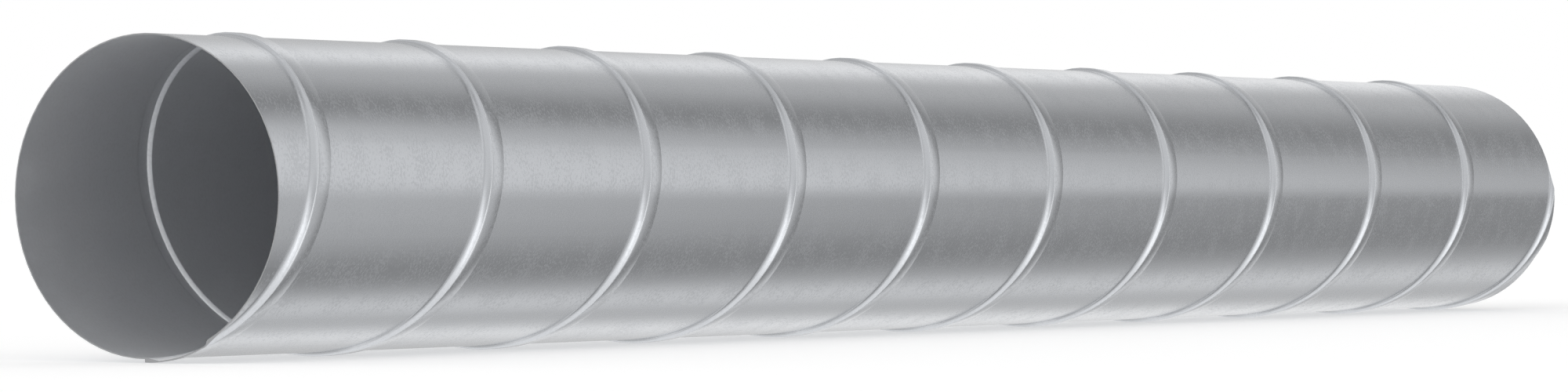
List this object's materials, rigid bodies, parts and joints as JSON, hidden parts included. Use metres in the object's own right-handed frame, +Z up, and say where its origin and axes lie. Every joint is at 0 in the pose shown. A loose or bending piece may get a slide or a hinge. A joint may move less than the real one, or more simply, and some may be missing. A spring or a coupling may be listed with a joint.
{
  "type": "round duct",
  "caption": "Straight round ventilation duct wound from one galvanised strip, with a helical lock seam standing outside the wall and open at both ends.",
  "frame": {"origin": "on the floor under the middle of the duct's length, straight under its axis", "axes": "+X along the duct's axis from the near end to the far end, +Z up, +Y away from the viewer of the picture"},
  "size_m": [1.25, 0.1292, 0.1292],
  "materials": {
    "galvanised_sheet": "satin zinc coating with a faint fine spangle"
  },
  "bodies": {
    "root": {"spiral_duct": "galvanised_sheet"}
  },
  "joints": []
}
